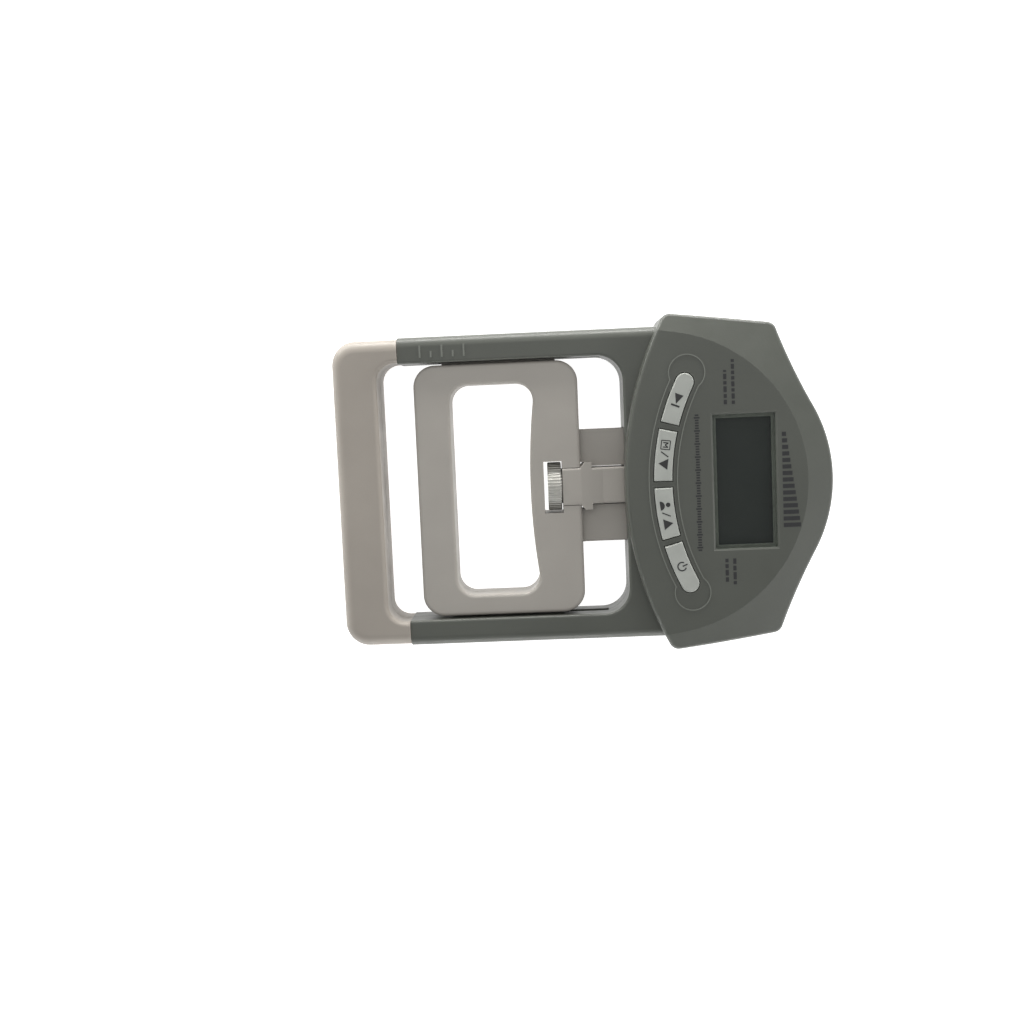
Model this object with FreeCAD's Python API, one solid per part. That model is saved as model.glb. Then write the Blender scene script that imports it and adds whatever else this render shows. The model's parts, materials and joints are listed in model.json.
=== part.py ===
import FreeCAD, Part
import math
import os

Vector = FreeCAD.Vector

# Electronic hand-grip dynamometer, lying on its flat back.
# Millimetres. +X along the length towards the tip of the head, +Y across it towards
# the scale marks, +Z out of the front face. The origin is at the middle of the bottom.

# ---------------------------------------------------------------- driving dimensions
WALL = 2.2                      # moulded wall of the shells
FIT = 0.05                      # radial clearance of a screw or a pin in its hole
GAP = 0.3                       # clearance between pieces that move past each other
SLIDE_GAP = 0.2                 # clearance of pieces that slide or plug together
ROOT = 0.5                      # how far bosses and ribs reach into a wall
FAR = 30.0                      # well outside the object, for cutting tools

# levels above the rest face
MID_Z = 11.5                    # parting plane and the axis of the adjusting screw
ARM_BACK_Z = 1.0
ARM_FRONT_Z = 22.0
HEAD_BACK_Z = 0.0
HEAD_FRONT_Z = 28.6
GRIP_BACK_Z = 0.2
GRIP_FRONT_Z = 22.8
HANDLE_BACK_Z = 3.0
HANDLE_FRONT_Z = 20.0

# head outline
TIP_X = 96.6                    # end of the dome
DOME_R = 58.0
DOME_HALF_Y = 28.0              # where the dome hands over to the hollow flank
TIP_CORNER = (75.7, 60.4)
LIP_CORNER = (33.0, 65.4)
LIP_X = 16.2                    # middle of the lip, which bulges towards the handle
HEAD_CORNER_R = 4.0
HEAD_CORNERS_Y = 38.0           # the rounded corners of the head lie beyond this
PLATEAU_X = 27.5                # middle of the round end of the flat plateau of the face
PLATEAU_R = 58.6
PLATEAU_DEG = 81.0              # where the round end hands over to straight sides
BEVEL_DEG = 20.0                # slope of the face outside the plateau
FACE_EDGE_R = 1.5               # round edge between the face and the sides
HEAD_EDGE_R = 2.4
SEAM = 0.2                      # chamfer of each half along the parting line

# frame: two arms and the bridge that joins them under the head
ARM_END_X = -70.4
ARM_OUT_Y = 61.0
ARM_IN_Y = 50.7
BRIDGE_X = 16.9
BRIDGE_CORNER_R = 10.0
ARM_EDGE_R = 4.0
INNER_EDGE_R = 1.0
FRAME_ROOT_X = 40.0             # where the arms end inside the head

# palm grip
GRIP_END_X = -96.6
GRIP_IN_X = -79.0
GRIP_OUT_Y = 60.4
GRIP_CORNER_R = 9.5
GRIP_IN_CORNER_R = 7.0
GRIP_EDGE_R = 4.6
GRIP_IN_EDGE_R = 1.8
GRIP_WALL = 2.6
GRIP_STEP = 0.4                 # the grip stands this much back from the arm's inner wall
GRIP_JOINT = 0.15               # gap between the grip and the end of the arm
SPIGOT_LENGTH = 12.0
SPIGOT_ROOT = 4.0

# inner handle
HANDLE_LEFT_X = -65.0
HANDLE_RIGHT_X = -0.6
HANDLE_HALF_Y = 49.7
HANDLE_CORNER_R = 8.5
FINGER_LEFT_X = -51.0           # finger side of the finger bar
FINGER_HALF_Y = 41.5
FINGER_RIGHT_X = -20.6          # middle of the bulged wall opposite the finger bar
FINGER_BULGE = 3.3
FINGER_CORNER_R = 7.0
HANDLE_EDGE_R = 1.4
TRAVEL = 16.4                   # handle travel, 16.4 turns of the knob

# side tongues of the handle and the slots that guide them
TONGUE_X0 = -54.0
TONGUE_X1 = -9.0
TONGUE_OUT_Y = 52.6
TONGUE_HALF_Z = 1.9
TONGUE_ROOM = 1.5               # the slots are this much longer than the travel

# knob window
WINDOW_X0 = -15.2
WINDOW_X1 = -7.85
WINDOW_HALF_Y = 10.2
WINDOW_WALL = 1.8
KNOB_X0 = -13.7
KNOB_X1 = -8.3
KNOB_R = 9.6
KNOB_RIDGES = 48
KNOB_CHAMFER = 0.3
KNOB_GROOVE_R = 0.42
KNOB_GROOVE_OUT = 0.12          # how far outside the knob the grooves' axes lie
SCREW_R = 3.0                   # M6, pitch 1 mm
SCREW_END_X = 47.6
RETAINER_R = 5.0
RETAINER_THICK = 1.6
RETAINER_SEAT = 1.0
WASHER_R = 7.0

# screw cover and stem plate
NECK_HALF_Y = 7.5
FLANGE_X1 = 3.7
FLANGE_CHAMFER = 1.6
FLANGE_HALF_Y = 9.3
COVER_HALF_Y = 7.1
COVER_EDGE_R = 0.9
COVER_X1 = 21.0
COVER_Z0 = 4.6
COVER_Z1 = 19.2
FLANGE_Z0 = 4.2
NECK_Z1 = 20.3                  # the cover slopes from here down to its bar
SLOPE_X1 = 8.0                  # where that slope ends
PLATE_HALF_Y = 22.3
PLATE_X1 = 24.4
NECK_EDGE_R = 1.2
PLATE_EDGE_R = 0.8
MOUTH_DEPTH = 8.0
CROSS_BAR = 3.0                 # closes the plate's slot beyond the screw cover
PLATE_Z0 = 7.0
PLATE_Z1 = 16.0
PLATE_ROOT_X = -5.8
SLOT_HALF_Y = 7.7

# scale marks on the arm
MARK_X = -61.5
MARK_COUNT = 5
MARK_STEP = 4.3
MARK_WIDTH = 0.7
MARK_Y = 52.8
MARK_LONG = 4.7
MARK_SHORT = 2.4
MARK_HEIGHT = 0.3

# keys, on an arc about a point beyond the tip
KEY_ARC_X = 116.65
KEY_ARC_R = 86.0
KEY_HALF = 3.45
KEY_GAP = 0.4                   # slot round each key
KEY_TOP_Z = 29.3
KEY_FOOT_Z = 24.7
KEY_FLANGE = 0.9
KEY_EDGE_R = 0.5
KEY_INNER_DEG = 0.92            # half of the gap between the two middle keys
KEY_SPLIT_DEG = 14.8            # middle of the gap between a middle and an end key
KEY_END_DEG = 26.8              # centre of the rounded outer end
CONTOUR_OFFSET = 1.8
CONTOUR_WIDTH = 0.4
CONTOUR_HEIGHT = 0.25
RING_X = 40.8
RING_Y = 42.4
RING_R = 6.7

# display
WINDOW = (50.2, 73.9, 25.8)     # lens: x from, x to, half of y
LENS_Z0 = 27.0
LENS_Z1 = 28.35
LENS_BEVEL = 0.8
LENS_LEDGE = 1.3
LENS_CORNER_R = 0.6
LCD_Z0 = 22.9
LCD_Z1 = 25.6
LCD_MARGIN = 2.4
LCD_FRAME_WALL = 1.2
LCD_FRAME_RISE = 0.4

# circuit board and switches
BOARD_Z0 = 19.6
BOARD_Z1 = 21.2
BOARD_INSET = 4.2
BOARD_X0 = 24.6
BOARD_X1 = 88.0
BOARD_HALF_Y = 52.0
CHIP_X = (40.0, 50.0)
CHIP_Y = (30.0, 40.0)
CHIP_HEIGHT = 1.6
CHIP_CORNER_R = 0.5
SWITCH_SIDE = 6.0
SWITCH_CORNER_R = 0.6
SWITCH_Z1 = 23.8
PLUNGER_R = 1.7
PLUNGER_Z0 = 23.0
PLUNGER_HOLE_Z = 22.3

# load cell across the head
CELL_X0 = 41.5
CELL_X1 = 53.5
CELL_HALF_Y = 32.0
CELL_Z0 = 5.2
CELL_Z1 = 17.8
BOLT_Y = (24.0, 29.0)
BOLT_R = 2.0
BOLT_HEAD_R = 2.3
BOLT_HEAD = 1.5
NUT_R = 4.5
NUT_FIT = 0.02
NUT_FLANGE_R = 7.0
NUT_FLANGE = 2.4
FLEXURE_Y = 15.0
FLEXURE_R = 3.6
FLEXURE_SHIFT = 3.0             # two overlapping bores side by side make one window
GAUGE_THICK = 0.25
GAUGE_HALF_Y = 3.5
GAUGE_HALF_Z = 3.0
RIBBON_Y = (13.0, 17.0)
RIBBON_Z0 = 9.0
RIBBON_THICK = 0.6
BRACKET_Z0 = 2.3
BRACKET_Z1 = 4.4
BRACKET_HALF_Y = 37.0
BRACKET_PAD_Y = 21.0            # the cell stands on pads from here outwards
BRACKET_SLOT = (3.0, 12.0)      # half of x, half of y
BRACKET_SCREW_Y = 34.6
BRACKET_SCREW_INSET = 1.6
BRACKET_SEAT_Z = 1.3            # seat of those screws, and the size of their heads
BRACKET_SINK_R = 2.3
BRACKET_HEAD_R = 2.1
BRACKET_HEAD = 1.0

# battery bay
AAA_R = 5.25
AAA_LENGTH = 44.5
AAA_NIPPLE = 0.9
AAA_NIPPLE_R = 1.9
AAA_EDGE_R = 0.5
AAA_X = (70.8, 81.8)
AAA_Z = 8.5
BAY_X0 = 64.3
BAY_X1 = 88.2
BAY_HALF_Y = 24.7
BAY_WALL = 0.9
BAY_TOP_Z = 12.4
CONTACT = 0.4
CONTACT_HALF = 4.0
CONTACT_Z0 = 3.6
LEAD_R = 0.5
SPRING_R = 3.2
SPRING_WIRE_R = 0.35
SPRING_TURNS = 3
DOOR_HALF = 23.6               # half width of the sliding cover
DOOR_START_X = 59.2
DOOR_THICK = 2.2
DOOR_TONGUE = 1.4
DOOR_TONGUE_Z0 = 1.1
DOOR_TONGUE_END = 4.5           # the tongues stop this far short of the tip
DOOR_TONGUE_INSET = 0.6
DOOR_EDGE_R = 1.92
DOOR_GROOVES = 5
DOOR_GROOVE_X = 5.0             # first thumb groove, from the edge of the door
DOOR_GROOVE_STEP = 2.0
DOOR_GROOVE_WIDTH = 0.9
DOOR_GROOVE_HALF = 8.0
DOOR_GROOVE_DEPTH = 0.5
RAIL_WIDTH = 3.6
RAIL_TOP_Z = 4.6

LABEL_DEPTH = 0.35
LABEL_THICK = 0.2
LABEL_CORNER_R = 1.5
LABEL = (24.0, 56.0, 19.0)      # rating label on the back: x from, x to, half of y

# screws that join the halves: x, y
CASE_SCREWS = [(38.0, 57.0), (38.0, -57.0), (72.0, 50.5), (72.0, -50.5), (-24.0, 56.0), (-24.0, -56.0)]
ARM_SCREWS = [(-64.6, 56.0), (-64.6, -56.0)]
PALM_SCREWS = [(-87.8, 40.0), (-87.8, -40.0), (-87.8, 0.0)]
HANDLE_SCREWS = [(-58.0, 42.0), (-58.0, -42.0), (-8.6, 38.0), (-8.6, -38.0)]
BOARD_SCREWS = [(58.0, 45.0), (58.0, -45.0), (77.5, 34.0), (77.5, -34.0)]
CASE_SCREW = 13.0               # shank lengths
ARM_SCREW = 12.0
HANDLE_SCREW = 10.5
BOARD_SCREW = 5.4
HANDLE_SINK = 3.0
ARM_SINK = 1.9                  # counterbore under the arm screws
ARM_PAD_Z = 4.4
SHANK_R = 1.25
SCREW_HEAD_R = 2.5
SCREW_HEAD = 1.8
SCREW_EDGE_R = 0.7
CROSS_HALF = 1.5                # cross recess
CROSS_HALF_WIDTH = 0.3
CROSS_DEPTH = 1.0
TIP_ROOM = 0.4                  # room beyond the tip of a screw
SCREW_SINK = 3.4                # depth of the counterbore under a screw head
BOSS_R = 3.3
ARM_BOSS_R = 4.0                # grows into both side walls of an arm


# ---------------------------------------------------------------- building blocks
def box(x0, x1, y0, y1, z0, z1):
    return Part.makeBox(x1 - x0, y1 - y0, z1 - z0, Vector(x0, y0, z0))


def rod_z(x, y, z0, z1, radius):
    return Part.makeCylinder(radius, z1 - z0, Vector(x, y, z0))


def rod_x(x0, x1, y, z, radius):
    return Part.makeCylinder(radius, x1 - x0, Vector(x0, y, z), Vector(1, 0, 0))


def rod_y(x, y0, y1, z, radius):
    return Part.makeCylinder(radius, y1 - y0, Vector(x, y0, z), Vector(0, 1, 0))


def prism(wire, z0, z1):
    face = Part.Face(wire)
    solid = face.extrude(Vector(0, 0, z1 - z0))
    solid.translate(Vector(0, 0, z0))
    return solid


def join(shapes):
    first = shapes[0]
    return first.fuse(shapes[1:]).removeSplitter() if len(shapes) > 1 else first


def edges_where(shape, test):
    return [edge for edge in shape.Edges if test(edge)]


def is_upright(edge):
    a, b = edge.Vertexes[0].Point, edge.Vertexes[-1].Point
    return abs(a.x - b.x) < 0.01 and abs(a.y - b.y) < 0.01 and abs(a.z - b.z) > 0.1


def lies_at(edge, z):
    return edge.BoundBox.ZMax - edge.BoundBox.ZMin < 0.01 and abs(edge.BoundBox.ZMax - z) < 0.01


def rounded_box(x0, x1, y0, y1, z0, z1, radius):
    solid = box(x0, x1, y0, y1, z0, z1)
    return solid.makeFillet(radius, edges_where(solid, is_upright))


def line(a, b):
    return Part.LineSegment(Vector(a[0], a[1], 0), Vector(b[0], b[1], 0)).toShape()


def arc(a, middle, b):
    points = [Vector(p[0], p[1], 0) for p in (a, middle, b)]
    return Part.Arc(*points).toShape()


def mirrored(point):
    return (point[0], -point[1])


def save(name, shape):
    shape.exportStep("parts/" + name + ".step")
    print(name, len(shape.Solids), round(shape.Volume, 1), shape.isValid())


# ---------------------------------------------------------------- screws
def screw(x, y, z_seat, length):
    """Pan-head screw pointing up (+Z), its head below z_seat, with a cross recess."""
    head = rod_z(x, y, z_seat - SCREW_HEAD, z_seat, SCREW_HEAD_R)
    head = head.makeFillet(SCREW_EDGE_R, edges_where(head, lambda e: lies_at(e, z_seat - SCREW_HEAD)))
    shank = rod_z(x, y, z_seat, z_seat + length, SHANK_R)
    body = join([head, shank])
    low = z_seat - SCREW_HEAD
    long, thin = CROSS_HALF, CROSS_HALF_WIDTH
    cross = join([box(x - long, x + long, y - thin, y + thin, low, low + CROSS_DEPTH),
                  box(x - thin, x + thin, y - long, y + long, low, low + CROSS_DEPTH)])
    return body.cut(cross)


def screw_hole(x, y, z_bottom, z_seat, length):
    """Counterbore from below up to z_seat, and the hole for the shank above it."""
    sink = rod_z(x, y, z_bottom - 1.0, z_seat, SCREW_HEAD_R + GAP)
    hole = rod_z(x, y, z_seat - 0.1, z_seat + length + TIP_ROOM, SHANK_R + FIT)
    return join([sink, hole])


# ---------------------------------------------------------------- head and frame outlines
def flank_middle(start, end, tangent):
    """Middle point of the arc that leaves start along tangent and ends at end."""
    chord = Vector(end[0] - start[0], end[1] - start[1], 0)
    half_turn = tangent.getAngle(chord)
    side = Vector(-chord.y, chord.x, 0).normalize()
    if side.dot(tangent) < 0:
        side = side * -1
    sagitta = chord.Length / 2 * math.tan(half_turn / 2)
    return (start[0] + chord.x / 2 + side.x * sagitta, start[1] + chord.y / 2 + side.y * sagitta)


def head_wire(inset):
    centre_x = TIP_X - DOME_R
    dome_x = centre_x + math.sqrt(DOME_R ** 2 - DOME_HALF_Y ** 2)
    shoulder = (dome_x, DOME_HALF_Y)
    tangent = Vector(-DOME_HALF_Y, dome_x - centre_x, 0).normalize()
    flank = flank_middle(shoulder, TIP_CORNER, tangent)
    edges = [arc(mirrored(LIP_CORNER), (LIP_X, 0), LIP_CORNER),
             line(LIP_CORNER, TIP_CORNER),
             arc(TIP_CORNER, flank, shoulder),
             arc(shoulder, (TIP_X, 0), mirrored(shoulder)),
             arc(mirrored(shoulder), mirrored(flank), mirrored(TIP_CORNER)),
             line(mirrored(TIP_CORNER), mirrored(LIP_CORNER))]
    wire = Part.Wire(Part.__sortEdges__(edges))
    return wire.makeOffset2D(-inset) if inset else wire


def plateau_wire(grow):
    """Round end towards the tip with straight sides that spread out behind the lip."""
    radius = PLATEAU_R + grow
    turn = math.radians(PLATEAU_DEG)
    shoulder = (PLATEAU_X + radius * math.cos(turn), radius * math.sin(turn))
    back_x = LIP_X - HEAD_CORNER_R
    back = (back_x, shoulder[1] + (shoulder[0] - back_x) / math.tan(turn))
    edges = [arc(mirrored(shoulder), (PLATEAU_X + radius, 0), shoulder), line(shoulder, back),
             line(back, mirrored(back)), line(mirrored(back), mirrored(shoulder))]
    return Part.Wire(edges)


def face_limit(inset):
    """Everything below the face: a flat plateau with a bevel round it."""
    top = HEAD_FRONT_Z - inset
    low = plateau_wire(FAR)
    low.translate(Vector(0, 0, top - FAR * math.tan(math.radians(BEVEL_DEG))))
    high = plateau_wire(0.0)
    high.translate(Vector(0, 0, top))
    under = Part.Face(low).extrude(Vector(0, 0, -FAR))
    return join([Part.makeLoft([low, high], True, True), under])


def face_rim(solid):
    """Edges where the face meets the side walls."""
    foot = Part.Wire(Part.__sortEdges__(edges_where(solid, lambda e: lies_at(e, MID_Z))))

    def is_rim(edge):
        middle = edge.valueAt((edge.FirstParameter + edge.LastParameter) / 2)
        below = Part.Vertex(Vector(middle.x, middle.y, MID_Z))
        return middle.z > MID_Z + 1 and not is_upright(edge) and foot.distToShape(below)[0] < 0.02
    return edges_where(solid, is_rim)


def round_head_corners(solid, radius):
    def is_corner(edge):
        point = edge.CenterOfMass
        return is_upright(edge) and abs(point.y) > HEAD_CORNERS_Y
    return solid.makeFillet(radius, edges_where(solid, is_corner))


def head_solid(inset, z0):
    solid = prism(head_wire(inset), z0, HEAD_FRONT_Z + 1)
    solid = round_head_corners(solid, max(HEAD_CORNER_R - inset, 0.8))
    return solid.common(face_limit(inset))


def frame_wire(inset):
    """U of the two arms and the bridge."""
    x0 = ARM_END_X - (2.0 if inset else 0.0)
    x1 = FRAME_ROOT_X
    out_y = ARM_OUT_Y - inset
    in_y = ARM_IN_Y + inset
    bridge = BRIDGE_X + inset
    r = BRIDGE_CORNER_R + inset
    k = r * (1 - math.sqrt(0.5))
    corners = [(x0, out_y), (x1, out_y), (x1, -out_y), (x0, -out_y), (x0, -in_y), (bridge - r, -in_y)]
    edges = [line(a, b) for a, b in zip(corners, corners[1:])]
    edges.append(arc((bridge - r, -in_y), (bridge - k, -in_y + k), (bridge, -in_y + r)))
    edges.append(line((bridge, -in_y + r), (bridge, in_y - r)))
    edges.append(arc((bridge, in_y - r), (bridge - k, in_y - k), (bridge - r, in_y)))
    edges.append(line((bridge - r, in_y), (x0, in_y)))
    edges.append(line((x0, in_y), (x0, out_y)))
    return Part.Wire(Part.__sortEdges__(edges))


def frame_solid(z_from, z_to, z_outside):
    """Half of the frame with its outside edges, at z_outside, rounded."""
    solid = prism(frame_wire(0.0), z_from, z_to)

    def outer(edge):
        is_straight = edge.BoundBox.YLength < 0.1
        return lies_at(edge, z_outside) and is_straight and abs(edge.CenterOfMass.y) > ARM_OUT_Y - 1

    def inner(edge):
        middle = edge.CenterOfMass
        return lies_at(edge, z_outside) and abs(middle.y) < ARM_IN_Y + 0.1 and middle.x < BRIDGE_X + 0.1

    solid = solid.makeFillet(ARM_EDGE_R, edges_where(solid, outer))
    return solid.makeFillet(INNER_EDGE_R, edges_where(solid, inner))


# ---------------------------------------------------------------- keys
def key_point(radius, degrees):
    a = math.radians(degrees)
    return (KEY_ARC_X - radius * math.cos(a), radius * math.sin(a))


def key_wire(start_deg, end_deg, side, grow, rounded):
    """Arc band from start to end, grown by grow. side is +1 or -1 for the half it lies in."""
    def place(radius, degrees):
        return key_point(radius, side * degrees)
    inner = KEY_ARC_R - KEY_HALF - grow
    outer = KEY_ARC_R + KEY_HALF + grow
    pad = math.degrees(grow / KEY_ARC_R)
    a0 = start_deg - pad
    a1 = end_deg if rounded else end_deg + pad
    middle = (a0 + a1) / 2
    edges = [arc(place(inner, a0), place(inner, middle), place(inner, a1)),
             arc(place(outer, a0), place(outer, middle), place(outer, a1)),
             line(place(inner, a0), place(outer, a0))]
    if rounded:
        swing = math.degrees((KEY_HALF + grow) / KEY_ARC_R)
        edges.append(arc(place(inner, a1), place(KEY_ARC_R, a1 + swing), place(outer, a1)))
    else:
        edges.append(line(place(inner, a1), place(outer, a1)))
    return Part.Wire(Part.__sortEdges__(edges))


KEYS = {
    "key_start": (KEY_SPLIT_DEG + KEY_INNER_DEG, KEY_END_DEG, 1, True),
    "key_memory": (KEY_INNER_DEG, KEY_SPLIT_DEG - KEY_INNER_DEG, 1, False),
    "key_user": (KEY_INNER_DEG, KEY_SPLIT_DEG - KEY_INNER_DEG, -1, False),
    "key_power": (KEY_SPLIT_DEG + KEY_INNER_DEG, KEY_END_DEG, -1, True),
}


def key_prism(name, grow, z0, z1):
    start, end, side, rounded = KEYS[name]
    return prism(key_wire(start, end, side, grow, rounded), z0, z1)


def key_middle(name):
    start, end, side, rounded = KEYS[name]
    return key_point(KEY_ARC_R, side * (start + end) / 2)


def make_key(name):
    cap = key_prism(name, 0.0, KEY_FOOT_Z, KEY_TOP_Z)
    cap = cap.makeFillet(KEY_EDGE_R, edges_where(cap, lambda e: lies_at(e, KEY_TOP_Z)))
    flange = key_prism(name, KEY_FLANGE, KEY_FOOT_Z, HEAD_FRONT_Z - WALL - 0.1)
    return join([cap, flange])


def make_plunger(name):
    x, y = key_middle(name)
    return rod_z(x, y, PLUNGER_Z0, KEY_FOOT_Z, PLUNGER_R)


def make_switches():
    """Four tact switch bodies, each with a well for its plunger."""
    half = SWITCH_SIDE / 2
    bodies = []
    for name in KEYS:
        x, y = key_middle(name)
        body = rounded_box(x - half, x + half, y - half, y + half, BOARD_Z1, SWITCH_Z1, SWITCH_CORNER_R)
        bodies.append(body.cut(rod_z(x, y, PLUNGER_HOLE_Z, SWITCH_Z1 + 1, PLUNGER_R + FIT)))
    return Part.makeCompound(bodies)


def key_surround(grow, z0, z1):
    """Filled strip round all four keys with a disc at each end."""
    pieces = [prism(key_wire(-KEY_END_DEG, KEY_END_DEG, 1, grow, False), z0, z1)]
    for side in (1, -1):
        pieces.append(rod_z(RING_X, side * RING_Y, z0, z1, RING_R - CONTOUR_OFFSET + grow))
    return join(pieces)


# ---------------------------------------------------------------- shells
def mouth():
    """Opening in the bridge for the stem plate, the flange and the screw cover."""
    x0, x1 = BRIDGE_X - 1, BRIDGE_X + MOUTH_DEPTH
    plate = box(x0, x1, -PLATE_HALF_Y - GAP, PLATE_HALF_Y + GAP, PLATE_Z0 - GAP, PLATE_Z1 + GAP)
    flange = box(x0, x1, -FLANGE_HALF_Y - GAP, FLANGE_HALF_Y + GAP, FLANGE_Z0 - GAP, NECK_Z1 + GAP)
    return join([plate, flange])


def guide_slots():
    """Slots in the arms' inner walls for the handle's tongues over their whole travel."""
    slots = []
    for side in (1, -1):
        y0, y1 = sorted((side * (ARM_IN_Y - 1), side * (ARM_IN_Y + WALL + 1)))
        slots.append(box(TONGUE_X0 - TONGUE_ROOM, TONGUE_X1 + TRAVEL + TONGUE_ROOM, y0, y1,
                         MID_Z - TONGUE_HALF_Z - GAP, MID_Z + TONGUE_HALF_Z + GAP))
    return slots


def display_opening():
    x0, x1, half = WINDOW
    upper = box(x0 - 0.1, x1 + 0.1, -half - 0.1, half + 0.1, LENS_Z0, HEAD_FRONT_Z + 1)
    lower = box(x0 + LENS_LEDGE, x1 - LENS_LEDGE, -half + LENS_LEDGE, half - LENS_LEDGE, LCD_Z1, HEAD_FRONT_Z)
    return join([upper, lower])


def display_bevel():
    """Chamfer round the lens opening."""
    x0, x1, half = WINDOW
    low, high = LENS_Z1 - 0.1, HEAD_FRONT_Z + 0.01

    def loop(grow, z):
        points = [(x0 - grow, -half - grow), (x1 + grow, -half - grow), (x1 + grow, half + grow),
                  (x0 - grow, half + grow), (x0 - grow, -half - grow)]
        return Part.makePolygon([Vector(x, y, z) for x, y in points])
    return Part.makeLoft([loop(0.1, low), loop(LENS_BEVEL, high)], True)


def scale_marks():
    marks = []
    for i in range(MARK_COUNT):
        x = MARK_X + i * MARK_STEP
        length = MARK_SHORT if i % 2 else MARK_LONG
        mark = box(x - MARK_WIDTH / 2, x + MARK_WIDTH / 2, MARK_Y, MARK_Y + length,
                   ARM_FRONT_Z - MARK_HEIGHT, ARM_FRONT_Z + MARK_HEIGHT)
        marks.append(mark)
    return marks


def shell_cavity():
    frame = prism(frame_wire(WALL), ARM_BACK_Z + WALL, ARM_FRONT_Z - WALL)
    head = head_solid(WALL, HEAD_BACK_Z + WALL)
    return join([frame, head])


def make_front_shell(cavity):
    head = head_solid(0.0, MID_Z)
    head = head.makeFillet(FACE_EDGE_R, face_rim(head))
    shell = join([head, frame_solid(MID_Z, ARM_FRONT_Z, ARM_FRONT_Z)] + scale_marks())
    shell = shell.makeChamfer(SEAM, edges_where(shell, lambda e: lies_at(e, MID_Z)))
    shell = shell.cut(cavity)
    roof = face_limit(WALL / 2)
    bosses = [rod_z(x, y, MID_Z, roof_z(x), BOSS_R).common(roof) for x, y in CASE_SCREWS]
    bosses += [rod_z(x, y, BOARD_Z1, HEAD_FRONT_Z, BOSS_R).common(roof) for x, y in BOARD_SCREWS]
    shell = join([shell] + bosses)
    z0, z1 = HEAD_FRONT_Z - CONTOUR_HEIGHT, HEAD_FRONT_Z + CONTOUR_HEIGHT
    ridge = key_surround(CONTOUR_OFFSET + CONTOUR_WIDTH, z0, z1)
    ridge = ridge.cut(key_surround(CONTOUR_OFFSET, HEAD_FRONT_Z - 1, HEAD_FRONT_Z + 1))
    shell = join([shell, ridge])
    holes = [key_prism(name, KEY_GAP, BOARD_Z1, HEAD_FRONT_Z + 2) for name in KEYS]
    holes += [display_opening(), display_bevel(), mouth()] + guide_slots()
    holes += case_screw_holes()
    board_hole_top = BOARD_Z0 + BOARD_SCREW + TIP_ROOM
    holes += [rod_z(x, y, BOARD_Z1 - 1, board_hole_top, SHANK_R + FIT) for x, y in BOARD_SCREWS]
    return shell.cut(holes)


def floor_z(x):
    """Underside of the case at x: the arms are a little higher than the head."""
    return ARM_BACK_Z if x < BRIDGE_X else HEAD_BACK_Z


def roof_z(x):
    return ARM_FRONT_Z - WALL / 2 if x < BRIDGE_X else HEAD_FRONT_Z


def case_screw_holes():
    holes = [screw_hole(x, y, -FAR, floor_z(x) + SCREW_SINK, CASE_SCREW) for x, y in CASE_SCREWS]
    return holes + [screw_hole(x, y, -FAR, ARM_BACK_Z + ARM_SINK, ARM_SCREW) for x, y in ARM_SCREWS]


def make_case_screws():
    screws = [screw(x, y, floor_z(x) + SCREW_SINK, CASE_SCREW) for x, y in CASE_SCREWS]
    screws += [screw(x, y, ARM_BACK_Z + ARM_SINK, ARM_SCREW) for x, y in ARM_SCREWS]
    return Part.makeCompound(screws)


def make_rear_shell(cavity):
    head = prism(head_wire(0.0), HEAD_BACK_Z, MID_Z)
    head = round_head_corners(head, HEAD_CORNER_R)
    head = head.makeFillet(HEAD_EDGE_R, edges_where(head, lambda e: lies_at(e, HEAD_BACK_Z)))
    shell = join([head, frame_solid(ARM_BACK_Z, MID_Z, ARM_BACK_Z)])
    shell = shell.makeChamfer(SEAM, edges_where(shell, lambda e: lies_at(e, MID_Z)))
    shell = shell.cut(cavity)
    inside = []
    for x, y in CASE_SCREWS:
        radius = ARM_BOSS_R if x < BRIDGE_X else BOSS_R + GAP
        inside.append(rod_z(x, y, floor_z(x) + ROOT, MID_Z, radius))
    for x, y in ARM_SCREWS:
        inside.append(rod_z(x, y, ARM_BACK_Z + ROOT, ARM_PAD_Z, BOSS_R))
    bay = box(BAY_X0, BAY_X1, -BAY_HALF_Y - BAY_WALL, BAY_HALF_Y + BAY_WALL, 1.0, BAY_TOP_Z)
    within = prism(head_wire(ROOT), 0, FAR)
    inside.append(bay.common(within))
    for side in (1, -1):
        y0, y1 = sorted((side * DOOR_HALF, side * (DOOR_HALF + RAIL_WIDTH)))
        inside.append(box(DOOR_START_X, TIP_X, y0, y1, ROOT, RAIL_TOP_Z).common(within))
    shell = join([shell] + inside)
    holes = case_screw_holes() + [mouth()] + guide_slots()
    well = box(BAY_X0 + BAY_WALL, BAY_X1 - SLIDE_GAP, -BAY_HALF_Y, BAY_HALF_Y, -1, FAR)
    holes.append(well.common(prism(head_wire(WALL + ROOT), -FAR, BAY_TOP_Z + ROOT)))
    door_x = DOOR_START_X - SLIDE_GAP
    door_y = DOOR_HALF + SLIDE_GAP
    door_top = DOOR_THICK + SLIDE_GAP
    slide = box(door_x, TIP_X + 1, -door_y, door_y, -1, door_top)
    groove = box(door_x, TIP_X + 1, -door_y - DOOR_TONGUE, door_y + DOOR_TONGUE,
                 DOOR_TONGUE_Z0 - SLIDE_GAP, door_top)
    holes += [slide, groove]
    holes += [bracket_screw_hole(x, y) for x, y in bracket_screw_places()]
    holes.append(label_recess())
    return shell.cut(holes)


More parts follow.
